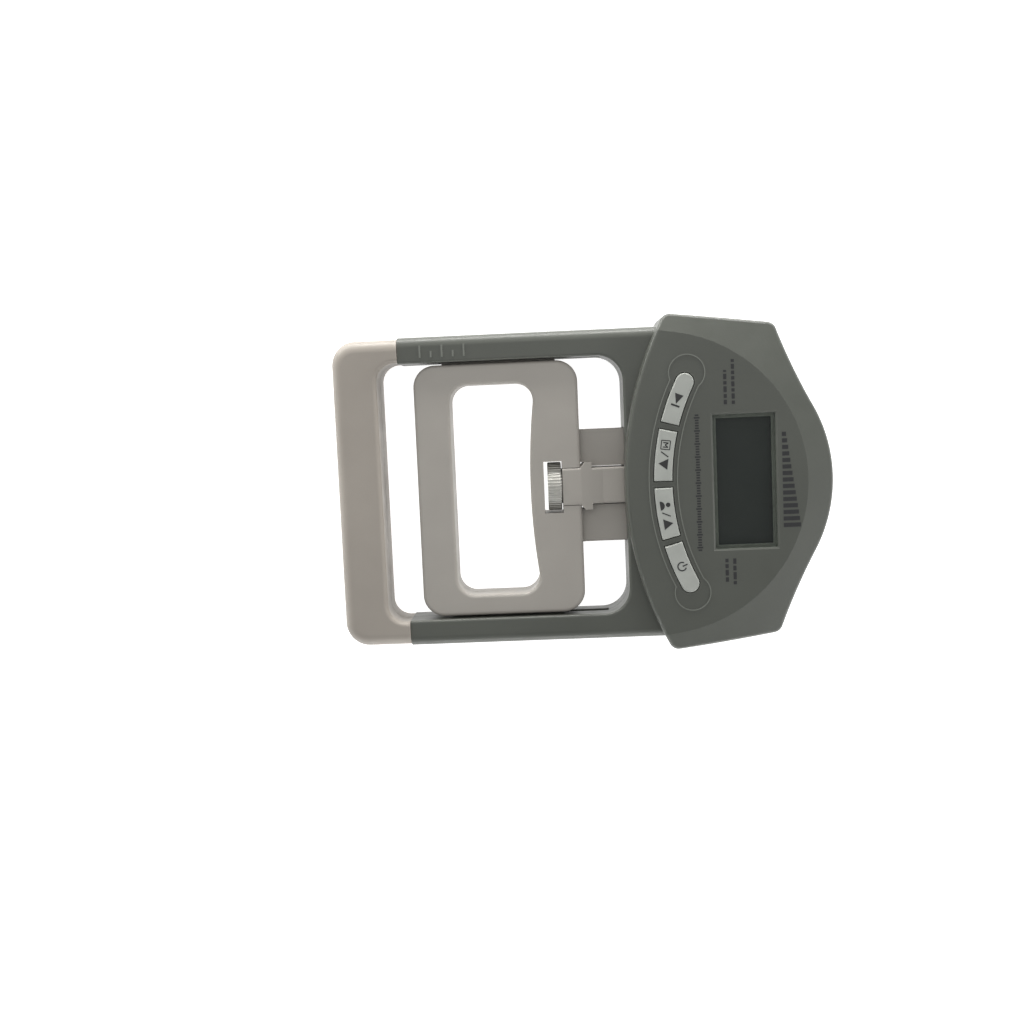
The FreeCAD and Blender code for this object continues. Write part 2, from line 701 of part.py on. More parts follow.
def make_battery_cover():
    outline = prism(head_wire(0.0), HEAD_BACK_Z, DOOR_THICK)
    outline = outline.makeFillet(DOOR_EDGE_R, edges_where(outline, lambda e: lies_at(e, HEAD_BACK_Z)))
    plate = outline.common(box(DOOR_START_X, TIP_X + 1, -DOOR_HALF, DOOR_HALF, -1, FAR))
    tongue_y = DOOR_HALF + DOOR_TONGUE
    tongues = box(DOOR_START_X, TIP_X - DOOR_TONGUE_END, -tongue_y, tongue_y, DOOR_TONGUE_Z0, DOOR_THICK)
    tongues = tongues.common(prism(head_wire(DOOR_TONGUE_INSET), 0, FAR))
    grooves = []
    for i in range(DOOR_GROOVES):
        x = DOOR_START_X + DOOR_GROOVE_X + i * DOOR_GROOVE_STEP
        grooves.append(box(x, x + DOOR_GROOVE_WIDTH, -DOOR_GROOVE_HALF, DOOR_GROOVE_HALF,
                           -1, DOOR_GROOVE_DEPTH))
    return join([plate, tongues]).cut(grooves)


# ---------------------------------------------------------------- palm grip
def grip_wire(inset):
    x0 = GRIP_END_X + inset
    x1 = ARM_END_X - GRIP_JOINT
    in_x = GRIP_IN_X - inset
    out_y = GRIP_OUT_Y - inset
    in_y = ARM_IN_Y + GRIP_STEP + inset
    points = [(x1, out_y), (x0, out_y), (x0, -out_y), (x1, -out_y), (x1, -in_y), (in_x, -in_y), (in_x, in_y),
              (x1, in_y), (x1, out_y)]
    return Part.Wire([line(a, b) for a, b in zip(points, points[1:])])


def grip_prism(inset, z0, z1):
    solid = prism(grip_wire(inset), z0, z1)

    def outer(edge):
        return is_upright(edge) and edge.CenterOfMass.x < GRIP_END_X + inset + 0.1

    def inner(edge):
        point = edge.CenterOfMass
        return is_upright(edge) and abs(point.x - GRIP_IN_X + inset) < 0.1

    solid = solid.makeFillet(GRIP_CORNER_R - inset, edges_where(solid, outer))
    return solid.makeFillet(GRIP_IN_CORNER_R + inset, edges_where(solid, inner))


def boss_span(front, z0, z1):
    """Levels of a boss that stands on the outer wall of one half and ends at the parting plane."""
    return (z0, z1 - ROOT) if front else (z0 + ROOT, z1)


def make_grip(front):
    z0, z1 = (MID_Z, GRIP_FRONT_Z) if front else (GRIP_BACK_Z, MID_Z)
    outside = z1 if front else z0
    solid = grip_prism(0.0, z0, z1)

    def rim(edge, is_inside):
        point = edge.CenterOfMass
        if not lies_at(edge, outside) or point.x > ARM_END_X - 1:
            return False
        return is_inside == (point.x > GRIP_IN_X - 1 and abs(point.y) < ARM_IN_Y + 1)

    solid = solid.makeFillet(GRIP_EDGE_R, edges_where(solid, lambda e: rim(e, False)))
    solid = solid.makeFillet(GRIP_IN_EDGE_R, edges_where(solid, lambda e: rim(e, True)))
    solid = solid.makeChamfer(SEAM, edges_where(
        solid, lambda e: lies_at(e, MID_Z) and e.CenterOfMass.x < ARM_END_X - 1))
    cavity = grip_prism(GRIP_WALL, GRIP_BACK_Z + GRIP_WALL, GRIP_FRONT_Z - GRIP_WALL)
    shell = solid.cut(cavity)
    pieces = [shell]
    arm_wall = WALL + SLIDE_GAP
    for side in (1, -1):
        y0, y1 = sorted((side * (ARM_IN_Y + arm_wall), side * (ARM_OUT_Y - arm_wall)))
        s0, s1 = (MID_Z, ARM_FRONT_Z - arm_wall) if front else (ARM_BACK_Z + arm_wall, MID_Z)
        pieces.append(box(ARM_END_X - SPIGOT_ROOT, ARM_END_X + SPIGOT_LENGTH, y0, y1, s0, s1))
    for x, y in PALM_SCREWS:
        pieces.append(rod_z(x, y, *boss_span(front, z0, z1), BOSS_R + GAP))
    grip = join(pieces)
    holes = [screw_hole(x, y, -FAR, GRIP_BACK_Z + SCREW_SINK, CASE_SCREW) for x, y in PALM_SCREWS]
    for x, y in ARM_SCREWS:
        holes.append(rod_z(x, y, 0, ARM_PAD_Z + GAP, BOSS_R - 0.1 + GAP))
        holes.append(rod_z(x, y, 0, ARM_BACK_Z + ARM_SINK + ARM_SCREW + TIP_ROOM, SHANK_R + FIT))
    return grip.cut(holes)


# ---------------------------------------------------------------- inner handle
def finger_wire(inset):
    """Opening for the fingers; the wall opposite the finger bar bulges into it."""
    left = FINGER_LEFT_X - inset
    half = FINGER_HALF_Y + inset
    edge_x = FINGER_RIGHT_X + FINGER_BULGE + inset
    edges = [line((left, -half), (left, half)), line((left, half), (edge_x, half)),
             arc((edge_x, half), (FINGER_RIGHT_X + inset, 0), (edge_x, -half)),
             line((edge_x, -half), (left, -half))]
    return Part.Wire(Part.__sortEdges__(edges))


def loop_prism(inset, z0, z1):
    """The handle's loop: outside outline shrunk by inset, finger opening grown by it."""
    outside = rounded_box(HANDLE_LEFT_X + inset, HANDLE_RIGHT_X - inset, -HANDLE_HALF_Y + inset,
                          HANDLE_HALF_Y - inset, z0, z1, HANDLE_CORNER_R - inset)
    opening = prism(finger_wire(inset), z0 - 1, z1 + 1)
    opening = opening.makeFillet(FINGER_CORNER_R + inset, edges_where(opening, is_upright))
    return outside.cut(opening)


def make_handle(front):
    z0, z1 = (MID_Z, HANDLE_FRONT_Z) if front else (HANDLE_BACK_Z, MID_Z)
    outside_z = z1 if front else z0
    solid = loop_prism(0.0, z0, z1)
    solid = solid.makeFillet(HANDLE_EDGE_R, edges_where(solid, lambda e: lies_at(e, outside_z)))
    solid = solid.makeChamfer(SEAM, edges_where(solid, lambda e: lies_at(e, MID_Z)))
    cavity = loop_prism(WALL, HANDLE_BACK_Z + WALL, HANDLE_FRONT_Z - WALL)
    shell = solid.cut(cavity)
    inside = [box(WINDOW_X0 - WINDOW_WALL, HANDLE_RIGHT_X - 0.1, -WINDOW_HALF_Y - WINDOW_WALL,
                  WINDOW_HALF_Y + WINDOW_WALL, z0 + (0 if front else 1), z1 - (1 if front else 0))]
    for x, y in HANDLE_SCREWS:
        inside.append(rod_z(x, y, *boss_span(front, z0, z1), BOSS_R - 0.1))
    tongue_z = (MID_Z, MID_Z + TONGUE_HALF_Z) if front else (MID_Z - TONGUE_HALF_Z, MID_Z)
    for side in (1, -1):
        y0, y1 = sorted((side * (HANDLE_HALF_Y - 1), side * TONGUE_OUT_Y))
        inside.append(box(TONGUE_X0, TONGUE_X1, y0, y1, *tongue_z))
    handle = join([shell] + inside)
    holes = [box(WINDOW_X0, WINDOW_X1, -WINDOW_HALF_Y, WINDOW_HALF_Y, 0, FAR)]
    holes += [screw_hole(x, y, -FAR, HANDLE_BACK_Z + HANDLE_SINK, HANDLE_SCREW) for x, y in HANDLE_SCREWS]
    # seat of the neck, open to the front
    holes.append(box(WINDOW_X1 - 0.1, HANDLE_RIGHT_X + 1, -NECK_HALF_Y, NECK_HALF_Y, COVER_Z0, FAR))
    # slot and pocket for the root of the stem plate
    for y0, y1 in ((-PLATE_HALF_Y, -WINDOW_HALF_Y - WINDOW_WALL), (WINDOW_HALF_Y + WINDOW_WALL, PLATE_HALF_Y)):
        holes.append(box(PLATE_ROOT_X, HANDLE_RIGHT_X + 1, y0, y1, PLATE_Z0, PLATE_Z1))
    return handle.cut(holes)


# ---------------------------------------------------------------- stem plate and screw cover
def make_stem_plate():
    plate = box(HANDLE_RIGHT_X, PLATE_X1, -PLATE_HALF_Y, PLATE_HALF_Y, PLATE_Z0, PLATE_Z1)
    plate = plate.makeFillet(PLATE_EDGE_R, edges_where(plate, lambda e: e.BoundBox.XLength > 10))
    roots = []
    for side in (1, -1):
        y0, y1 = sorted((side * (WINDOW_HALF_Y + WINDOW_WALL), side * PLATE_HALF_Y))
        roots.append(box(PLATE_ROOT_X, HANDLE_RIGHT_X + 1, y0, y1, PLATE_Z0, PLATE_Z1))
    plate = join([plate] + roots)
    channel = box(HANDLE_RIGHT_X - 1, PLATE_X1 - CROSS_BAR, -SLOT_HALF_Y, SLOT_HALF_Y, 0, FAR)
    screw_way = rod_x(0, PLATE_X1 + 1, 0, MID_Z, SCREW_R + GAP)
    flange_seat = box(HANDLE_RIGHT_X - 1, FLANGE_X1 + 0.1, -FLANGE_HALF_Y, FLANGE_HALF_Y, 0, FAR)
    return plate.cut([channel, flange_seat, screw_way])


def make_screw_cover():
    neck = box(WINDOW_X1, HANDLE_RIGHT_X, -NECK_HALF_Y, NECK_HALF_Y, COVER_Z0, NECK_Z1)
    neck = neck.makeFillet(NECK_EDGE_R, edges_where(
        neck, lambda e: lies_at(e, NECK_Z1) and e.BoundBox.XLength > 1))
    flange = box(HANDLE_RIGHT_X, FLANGE_X1, -FLANGE_HALF_Y, FLANGE_HALF_Y, FLANGE_Z0, NECK_Z1)
    flange = flange.makeChamfer(FLANGE_CHAMFER, edges_where(
        flange, lambda e: is_upright(e) and abs(e.CenterOfMass.x - HANDLE_RIGHT_X) < 0.1))
    bar = box(HANDLE_RIGHT_X, COVER_X1, -COVER_HALF_Y, COVER_HALF_Y, COVER_Z0, NECK_Z1)
    above = Part.makePolygon([Vector(x, -FAR, z) for x, z in (
        (HANDLE_RIGHT_X, NECK_Z1), (SLOPE_X1, COVER_Z1), (COVER_X1 + 1, COVER_Z1), (COVER_X1 + 1, FAR),
        (HANDLE_RIGHT_X, FAR), (HANDLE_RIGHT_X, NECK_Z1))])
    above = Part.Face(above).extrude(Vector(0, 2 * FAR, 0))
    flange = flange.cut(above)
    bar = bar.cut(above)
    bar = bar.makeFillet(COVER_EDGE_R, edges_where(
        bar, lambda e: e.BoundBox.XLength > 1 and e.BoundBox.YLength < 1))
    cover = join([neck, flange, bar])
    bore = rod_x(WINDOW_X1 - 1, COVER_X1 + 1, 0, MID_Z, SCREW_R + 0.1)
    ring_bore = rod_x(FLANGE_X1 + RETAINER_SEAT, COVER_X1 + 1, 0, MID_Z, RETAINER_R + GAP)
    return cover.cut([bore, ring_bore])


def make_retaining_ring():
    x0 = FLANGE_X1 + RETAINER_SEAT + 0.1
    ring = rod_x(x0, x0 + RETAINER_THICK, 0, MID_Z, RETAINER_R)
    return ring.cut(rod_x(0, FAR, 0, MID_Z, SCREW_R))


def make_thrust_washer():
    washer = rod_x(KNOB_X1 + FIT, WINDOW_X1 - FIT, 0, MID_Z, WASHER_R)
    return washer.cut(rod_x(-FAR, 0, 0, MID_Z, SCREW_R + 0.1))


def make_knob():
    knob = rod_x(KNOB_X0, KNOB_X1, 0, MID_Z, KNOB_R)
    knob = knob.makeChamfer(KNOB_CHAMFER, knob.Edges[0:1] + knob.Edges[2:3])
    cuts = []
    groove_axis_r = KNOB_R + KNOB_GROOVE_OUT
    for i in range(KNOB_RIDGES):
        a = 2 * math.pi * i / KNOB_RIDGES
        y, z = math.cos(a) * groove_axis_r, math.sin(a) * groove_axis_r
        cuts.append(rod_x(KNOB_X0 - 1, KNOB_X1 + 1, y, MID_Z + z, KNOB_GROOVE_R))
    return knob.cut(cuts).cut(rod_x(KNOB_X0 - 1, KNOB_X1 + 1, 0, MID_Z, SCREW_R))


# ---------------------------------------------------------------- load cell
def make_load_cell():
    beam = box(CELL_X0, CELL_X1, -CELL_HALF_Y, CELL_HALF_Y, CELL_Z0, CELL_Z1)
    holes = [rod_x(CELL_X0 - 1, CELL_X1 + 1, 0, MID_Z, NUT_R)]
    middle_x = (CELL_X0 + CELL_X1) / 2
    for side in (1, -1):
        for shift in (-FLEXURE_SHIFT, FLEXURE_SHIFT):
            holes.append(rod_z(middle_x, side * FLEXURE_Y + shift, 0, 30, FLEXURE_R))
    for x, y in cell_bolt_places():
        holes.append(rod_z(x, y, 0, FAR, BOLT_R + FIT))
    return beam.cut(holes)


def cell_bolt_places():
    middle_x = (CELL_X0 + CELL_X1) / 2
    return [(middle_x, side * y) for side in (1, -1) for y in BOLT_Y]


def make_cell_bolts():
    bolts = []
    for x, y in cell_bolt_places():
        head = rod_z(x, y, CELL_Z1, CELL_Z1 + BOLT_HEAD, BOLT_HEAD_R)
        bolts.append(join([head, rod_z(x, y, BRACKET_Z0, CELL_Z1, BOLT_R)]))
    return Part.makeCompound(bolts)


def make_bracket():
    middle_x = (CELL_X0 + CELL_X1) / 2
    plate = box(CELL_X0 - 1, CELL_X1 + 1, -BRACKET_HALF_Y, BRACKET_HALF_Y, BRACKET_Z0, BRACKET_Z1)
    pads = [box(CELL_X0, CELL_X1, y0, y1, BRACKET_Z1, CELL_Z0)
            for y0, y1 in ((-CELL_HALF_Y, -BRACKET_PAD_Y), (BRACKET_PAD_Y, CELL_HALF_Y))]
    bracket = join([plate] + pads)
    holes = [rod_z(x, y, 0, 30, BOLT_R + FIT) for x, y in cell_bolt_places()]
    holes += [rod_z(x, y, 0, 30, SHANK_R + FIT) for x, y in bracket_screw_places()]
    half_x, half_y = BRACKET_SLOT
    holes.append(box(middle_x - half_x, middle_x + half_x, -half_y, half_y, 0, FAR))
    return bracket.cut(holes)


def bracket_screw_places():
    columns = (CELL_X0 + BRACKET_SCREW_INSET, CELL_X1 - BRACKET_SCREW_INSET)
    return [(x, side * BRACKET_SCREW_Y) for side in (1, -1) for x in columns]


def bracket_screw_hole(x, y):
    return join([rod_z(x, y, -1, BRACKET_SEAT_Z, BRACKET_SINK_R), rod_z(x, y, -1, BRACKET_Z1, SHANK_R + FIT)])


def make_bracket_screws():
    screws = []
    for x, y in bracket_screw_places():
        head = rod_z(x, y, BRACKET_SEAT_Z - BRACKET_HEAD, BRACKET_SEAT_Z, BRACKET_HEAD_R)
        screws.append(join([head, rod_z(x, y, BRACKET_SEAT_Z, BRACKET_Z1 + TIP_ROOM, SHANK_R)]))
    return Part.makeCompound(screws)


def make_nut():
    body = rod_x(CELL_X0, CELL_X1, 0, MID_Z, NUT_R - NUT_FIT)
    flange = rod_x(CELL_X1, CELL_X1 + NUT_FLANGE, 0, MID_Z, NUT_FLANGE_R)
    return join([body, flange]).cut(rod_x(CELL_X0 - 1, CELL_X1 + FAR, 0, MID_Z, SCREW_R + FIT))


def make_gauges():
    gauges = []
    for y in (FLEXURE_Y, -FLEXURE_Y):
        for x0, x1 in ((CELL_X0 - GAUGE_THICK, CELL_X0), (CELL_X1, CELL_X1 + GAUGE_THICK)):
            gauges.append(box(x0, x1, y - GAUGE_HALF_Y, y + GAUGE_HALF_Y,
                              MID_Z - GAUGE_HALF_Z, MID_Z + GAUGE_HALF_Z))
    return Part.makeCompound(gauges)


def make_gauge_ribbon():
    x0 = CELL_X1 + GAP
    return box(x0, x0 + RIBBON_THICK, *RIBBON_Y, RIBBON_Z0, BOARD_Z0)


# ---------------------------------------------------------------- electronics
def make_board():
    board = prism(head_wire(BOARD_INSET), BOARD_Z0, BOARD_Z1)
    board = board.common(box(BOARD_X0, BOARD_X1, -BOARD_HALF_Y, BOARD_HALF_Y, 0, FAR))
    holes = [rod_z(x, y, 0, 30, SHANK_R + FIT) for x, y in BOARD_SCREWS]
    holes += [rod_z(x, y, 0, 30, BOSS_R + 2 * GAP) for x, y in CASE_SCREWS if x > BRIDGE_X]
    return board.cut(holes)


def make_board_screws():
    return Part.makeCompound([screw(x, y, BOARD_Z0, BOARD_SCREW) for x, y in BOARD_SCREWS])


def make_chip():
    return rounded_box(*CHIP_X, *CHIP_Y, BOARD_Z1, BOARD_Z1 + CHIP_HEIGHT, CHIP_CORNER_R)


def make_lcd():
    x0, x1, half = WINDOW
    return box(x0 - LCD_MARGIN, x1 + LCD_MARGIN, -half - LCD_MARGIN, half + LCD_MARGIN, LCD_Z0, LCD_Z1)


def make_lcd_frame():
    x0, x1, half = WINDOW
    inner = LCD_MARGIN + 0.1
    outer = inner + LCD_FRAME_WALL
    frame = box(x0 - outer, x1 + outer, -half - outer, half + outer, BOARD_Z1, LCD_Z1 + LCD_FRAME_RISE)
    pocket = box(x0 - inner, x1 + inner, -half - inner, half + inner, BOARD_Z1 - 1, LCD_Z1 + 1)
    return frame.cut(pocket)


def make_zebras():
    x0, x1, half = WINDOW
    strips = [box(x - 1.0, x + 1.0, -half, half, BOARD_Z1, LCD_Z0) for x in (x0, x1)]
    return Part.makeCompound(strips)


def make_lens():
    x0, x1, half = WINDOW
    return rounded_box(x0, x1, -half, half, LENS_Z0, LENS_Z1, LENS_CORNER_R)


# ---------------------------------------------------------------- batteries
def make_aaa(x, direction):
    """AAA cell along Y; direction is +1 when its nipple points to +Y."""
    end = BAY_HALF_Y - CONTACT
    y_tip = direction * end
    y_shoulder = y_tip - direction * AAA_NIPPLE
    y_base = y_tip - direction * AAA_LENGTH
    y0, y1 = sorted((y_shoulder, y_base))
    body = rod_y(x, y0, y1, AAA_Z, AAA_R)
    body = body.makeFillet(AAA_EDGE_R, edges_where(body, lambda e: e.BoundBox.YLength < 0.01))
    n0, n1 = sorted((y_shoulder, y_tip))
    return join([body, rod_y(x, n0, n1, AAA_Z, AAA_NIPPLE_R)])


def make_contacts():
    plates = []
    for side in (1, -1):
        y0, y1 = sorted((side * (BAY_HALF_Y - CONTACT), side * BAY_HALF_Y))
        for x in AAA_X:
            plates.append(box(x - CONTACT_HALF, x + CONTACT_HALF, y0, y1, CONTACT_Z0, BAY_TOP_Z))
    return Part.makeCompound(plates)


def make_springs():
    """A short coil between each cell's flat end and its contact plate."""
    springs = []
    length = 2 * (BAY_HALF_Y - CONTACT) - AAA_LENGTH - 2 * SPRING_WIRE_R
    pitch = length / SPRING_TURNS
    path = []
    for half_turn in range(2 * SPRING_TURNS):
        piece = Part.makeHelix(pitch, pitch / 2, SPRING_R)
        piece.rotate(Vector(0, 0, 0), Vector(0, 0, 1), 180 * half_turn)
        piece.translate(Vector(0, 0, pitch / 2 * half_turn))
        path += piece.Edges
    start = Vector(0, 2 * math.pi * SPRING_R, pitch)
    circle = Part.makeCircle(SPRING_WIRE_R, Vector(SPRING_R, 0, 0), start)
    coil = Part.Wire(path).makePipeShell([Part.Wire(circle)], True, True)
    for x, side in zip(AAA_X, (-1, 1)):
        spring = coil.copy()
        spring.rotate(Vector(0, 0, 0), Vector(1, 0, 0), 90 * side)
        spring.translate(Vector(x, side * (BAY_HALF_Y - CONTACT - SPRING_WIRE_R), AAA_Z))
        springs.append(spring)
    return Part.makeCompound(springs)


def make_battery_leads():
    y = BAY_HALF_Y - CONTACT / 2
    return Part.makeCompound([rod_z(x, -y, BAY_TOP_Z, BOARD_Z0, LEAD_R) for x in AAA_X])


def label_recess():
    x0, x1, half = LABEL
    return rounded_box(x0, x1, -half, half, -1, LABEL_DEPTH, LABEL_CORNER_R)


def make_label():
    x0, x1, half = LABEL
    return rounded_box(x0 + SLIDE_GAP, x1 - SLIDE_GAP, -half + SLIDE_GAP, half - SLIDE_GAP,
                       LABEL_DEPTH - LABEL_THICK, LABEL_DEPTH, LABEL_CORNER_R - SLIDE_GAP)


# ---------------------------------------------------------------- write the pieces
def main():
    os.makedirs("parts", exist_ok=True)
    cavity = shell_cavity()
    save("front_shell", make_front_shell(cavity))
    save("rear_shell", make_rear_shell(cavity))
    save("battery_cover", make_battery_cover())
    save("palm_grip_front", make_grip(True))
    save("palm_grip_rear", make_grip(False))
    save("handle_front", make_handle(True))
    save("handle_rear", make_handle(False))
    save("stem_plate", make_stem_plate())
    save("screw_cover", make_screw_cover())
    save("knob", make_knob())
    save("adjusting_screw", rod_x(KNOB_X0 + GAP, SCREW_END_X, 0, MID_Z, SCREW_R))
    save("retaining_ring", make_retaining_ring())
    save("thrust_washer", make_thrust_washer())
    for name in KEYS:
        save(name, make_key(name))
        save(name.replace("key", "plunger"), make_plunger(name))
    save("tact_switches", make_switches())
    save("display_lens", make_lens())
    save("display_panel", make_lcd())
    save("display_frame", make_lcd_frame())
    save("display_connectors", make_zebras())
    save("circuit_board", make_board())
    save("board_screws", make_board_screws())
    save("controller_chip", make_chip())
    save("load_cell", make_load_cell())
    save("load_cell_bolts", make_cell_bolts())
    save("load_cell_bracket", make_bracket())
    save("bracket_screws", make_bracket_screws())
    save("screw_nut", make_nut())
    save("strain_gauges", make_gauges())
    save("gauge_ribbon", make_gauge_ribbon())
    for i, (x, direction) in enumerate(zip(AAA_X, (1, -1))):
        save("aaa_cell_%d" % (i + 1), make_aaa(x, direction))
    save("battery_contacts", make_contacts())
    save("battery_springs", make_springs())
    save("battery_leads", make_battery_leads())
    save("rating_label", make_label())
    save("case_screws", make_case_screws())
    palm = [screw(x, y, GRIP_BACK_Z + SCREW_SINK, CASE_SCREW) for x, y in PALM_SCREWS]
    save("palm_grip_screws", Part.makeCompound(palm))
    handle = [screw(x, y, HANDLE_BACK_Z + HANDLE_SINK, HANDLE_SCREW) for x, y in HANDLE_SCREWS]
    save("handle_screws", Part.makeCompound(handle))


main()
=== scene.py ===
"""Looks of the hand dynamometer: materials, printed marks, light and camera.

Everything is in metres in the CAD frame: +X towards the tip of the head, +Y across towards the
scale marks, +Z out of the front face, the table at z = 0.
"""
import json
import math
import random

import bmesh
import bpy
from mathutils import Matrix, Vector


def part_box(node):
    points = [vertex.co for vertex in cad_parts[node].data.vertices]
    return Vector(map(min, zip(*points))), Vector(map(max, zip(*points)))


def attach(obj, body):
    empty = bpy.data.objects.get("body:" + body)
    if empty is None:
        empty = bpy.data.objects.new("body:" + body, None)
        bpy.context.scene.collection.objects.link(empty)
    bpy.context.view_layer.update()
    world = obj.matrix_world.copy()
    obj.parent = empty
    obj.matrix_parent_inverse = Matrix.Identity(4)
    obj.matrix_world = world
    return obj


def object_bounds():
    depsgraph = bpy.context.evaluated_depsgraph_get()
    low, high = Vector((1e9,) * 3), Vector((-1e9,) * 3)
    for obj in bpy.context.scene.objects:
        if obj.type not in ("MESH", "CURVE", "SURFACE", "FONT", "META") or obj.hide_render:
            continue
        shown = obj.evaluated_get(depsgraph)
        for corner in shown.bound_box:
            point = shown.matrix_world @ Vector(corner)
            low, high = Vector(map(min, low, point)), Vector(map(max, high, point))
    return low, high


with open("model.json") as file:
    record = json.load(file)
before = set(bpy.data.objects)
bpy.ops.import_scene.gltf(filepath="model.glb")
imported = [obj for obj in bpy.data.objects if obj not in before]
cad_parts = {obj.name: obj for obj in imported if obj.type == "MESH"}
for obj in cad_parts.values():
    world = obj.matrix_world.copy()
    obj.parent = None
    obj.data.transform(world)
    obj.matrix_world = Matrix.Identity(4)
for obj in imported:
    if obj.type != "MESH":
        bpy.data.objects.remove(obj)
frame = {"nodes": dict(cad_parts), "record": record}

cad_low, cad_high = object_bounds()
random.seed(7)
MM = 0.001

scene = bpy.context.scene
nodes = frame["nodes"]


# ---------------------------------------------------------------- camera, floor and light
def make_camera():
    """Looks nearly straight down on the face, as the photographer's phone did."""
    tilt, lean, roll = math.radians(5.0), math.radians(-1.87), math.radians(2.31)
    camera = bpy.data.objects.new("camera", bpy.data.cameras.new("camera"))
    camera.data.sensor_width = 36.0
    camera.data.lens = 39.55
    camera.data.clip_start = 0.01
    turn = Matrix.Rotation(-tilt, 4, "X") @ Matrix.Rotation(-lean, 4, "Y") @ Matrix.Rotation(-roll, 4, "Z")
    middle = Vector(((cad_low.x + cad_high.x) / 2, 0, 0))
    camera.matrix_world = Matrix.Translation(middle + Vector((-13.8, 29.67, 462.1)) * MM) @ turn
    scene.collection.objects.link(camera)
    scene.camera = camera


def make_light(name, place, aim, size, power, colour=(1, 1, 1)):
    lamp = bpy.data.lights.new(name, "AREA")
    lamp.shape = "RECTANGLE"
    lamp.size, lamp.size_y = size
    lamp.energy = power
    lamp.color = colour
    light = bpy.data.objects.new(name, lamp)
    light.location = place
    light.rotation_euler = (Vector(aim) - Vector(place)).to_track_quat("-Z", "Y").to_euler()
    scene.collection.objects.link(light)


def studio_world():
    """Soft surround: bright round the horizon and dim overhead, as under a phone and its holder."""
    world = bpy.data.worlds.new("studio")
    world.use_nodes = True
    tree = world.node_tree
    direction = tree.nodes.new("ShaderNodeTexCoord")
    height = tree.nodes.new("ShaderNodeSeparateXYZ")
    strength = tree.nodes.new("ShaderNodeMapRange")
    for name, value in (("From Min", 0.0), ("From Max", 0.9), ("To Min", 1.3), ("To Max", 0.26)):
        strength.inputs[name].default_value = value
    background = tree.nodes["Background"]
    background.inputs["Color"].default_value = (0.95, 0.975, 1.0, 1)
    tree.links.new(direction.outputs["Generated"], height.inputs[0])
    tree.links.new(height.outputs["Z"], strength.inputs["Value"])
    tree.links.new(strength.outputs["Result"], background.inputs["Strength"])
    return world


FLOOR_REACH = 6.0


def make_studio():
    mesh = bpy.data.meshes.new("floor")
    corners = [(x * FLOOR_REACH, y * FLOOR_REACH, 0) for x, y in ((-1, -1), (1, -1), (1, 1), (-1, 1))]
    mesh.from_pydata(corners, [], [(0, 1, 2, 3)])
    floor = bpy.data.objects.new("floor", mesh)
    scene.collection.objects.link(floor)
    mesh.materials.append(plain_floor())
    scene.world = studio_world()
    make_light("rim", (-0.02, 0.62, 0.07), (0, 0.05, 0.02), (1.7, 0.12), 12, (1.0, 0.99, 0.97))
    make_light("low_rim", (0.05, -0.62, 0.06), (0, -0.05, 0.02), (1.5, 0.1), 2.5, (1.0, 0.99, 0.97))
    make_light("overhead", (-0.15, 0.35, 1.0), (0, 0, 0), (1.2, 1.2), 4.0, (1.0, 0.99, 0.97))
    make_light("fill", (0.75, -0.35, 0.3), (0.05, 0, 0.02), (0.8, 0.4), 1.5, (1.0, 0.98, 0.96))
    scene.view_settings.view_transform = "Standard"


